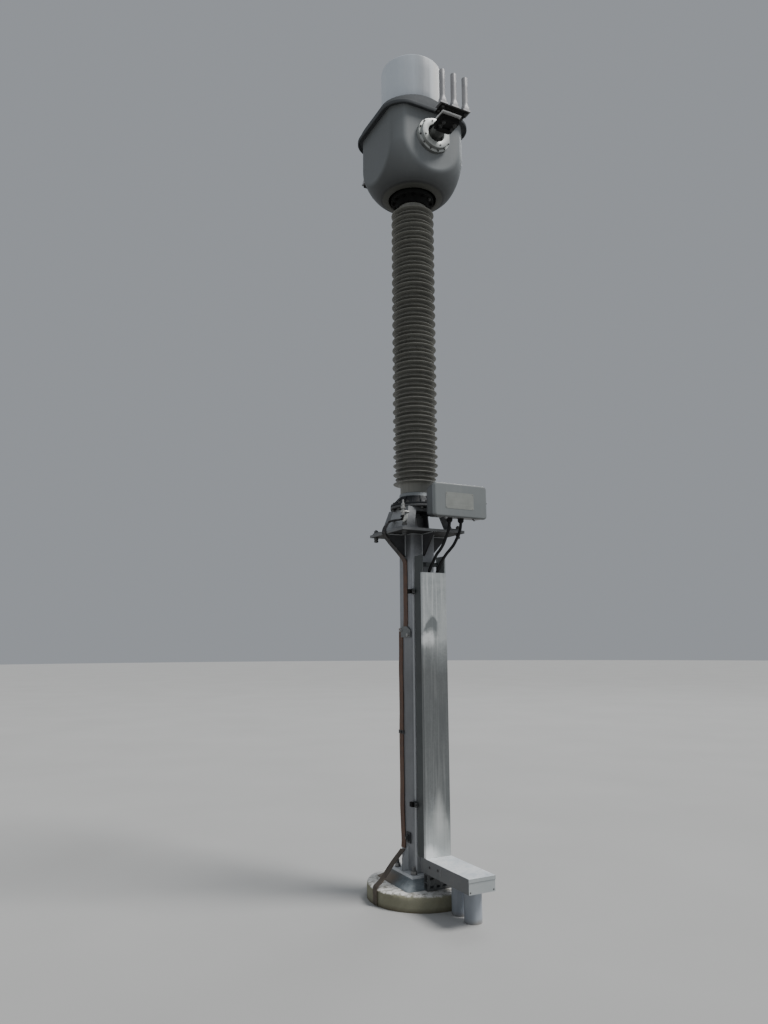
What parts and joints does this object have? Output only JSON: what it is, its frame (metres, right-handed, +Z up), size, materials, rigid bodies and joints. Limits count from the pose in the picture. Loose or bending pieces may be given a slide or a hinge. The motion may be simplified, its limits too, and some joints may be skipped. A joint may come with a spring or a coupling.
{
  "type": "high-voltage current transformer on post",
  "caption": "Free-standing high-voltage current transformer: ribbed insulator with a domed head and round cover, on a galvanised square post with cable duct, terminal box and round footing.",
  "frame": {"origin": "on the post's axis at the underside of the concrete footing, at ground level", "axes": "+Z up along the post; -Y towards the cable duct, the terminal box and the front primary terminal; -X towards the copper earth strap"},
  "size_m": [0.7575, 1.4289, 6.4244],
  "materials": {
    "concrete": "rough cast concrete",
    "grout": "rough dark grout",
    "galvanised_steel": "hot-dip galvanised, spangled",
    "bolt_steel": "weathered galvanised",
    "pvc": "matt",
    "copper": "weathered copper",
    "cast_aluminium": "dull cast",
    "black_cable": "satin",
    "box_paint": "satin light grey",
    "plate_metal": "satin",
    "dark_flange": "dark cast",
    "shed_rubber": "satin, dusty",
    "head_paint": "satin grey",
    "cover_white": "satin pale grey",
    "bare_aluminium": "dull bare",
    "terminal_dark": "dull, weathered"
  },
  "bodies": {
    "root": {"footing": "concrete", "grout_pad": "grout", "base_plate": "galvanised_steel", "anchor_bolts": "bolt_steel", "base_gussets": "galvanised_steel", "post": "galvanised_steel", "cap_gussets": "galvanised_steel", "cap_plate": "galvanised_steel", "cap_bolts": "bolt_steel", "duct_rails": "galvanised_steel", "duct_rungs": "galvanised_steel", "duct_cover": "galvanised_steel", "duct_brackets": "galvanised_steel", "foot_duct": "galvanised_steel", "foot_duct_cover": "galvanised_steel", "foot_support": "bolt_steel", "conduit_front": "pvc", "conduit_rear": "pvc", "earth_strap_upper": "copper", "strap_joint": "copper", "earth_strap_lower": "copper", "footing_strap": "copper", "base_feet": "cast_aluminium", "base_legs": "cast_aluminium", "base_side_panels": "cast_aluminium", "base_top_plate": "cast_aluminium", "earth_fittings": "cast_aluminium", "earth_lead": "black_cable", "box_neck": "cast_aluminium", "terminal_box_body": "box_paint", "terminal_box_lid": "box_paint", "rating_plate": "plate_metal", "cable_glands": "black_cable", "secondary_cable_left": "black_cable", "secondary_cable_right": "black_cable", "insulator_lower_flange": "dark_flange", "insulator": "shed_rubber", "insulator_upper_flange": "dark_flange", "head_housing": "head_paint", "hood": "head_paint", "bellows_cover": "cover_white", "primary_flanges": "bare_aluminium", "primary_stems": "terminal_dark", "terminal_clamps": "terminal_dark", "conductor_lugs": "bare_aluminium"}
  },
  "joints": []
}
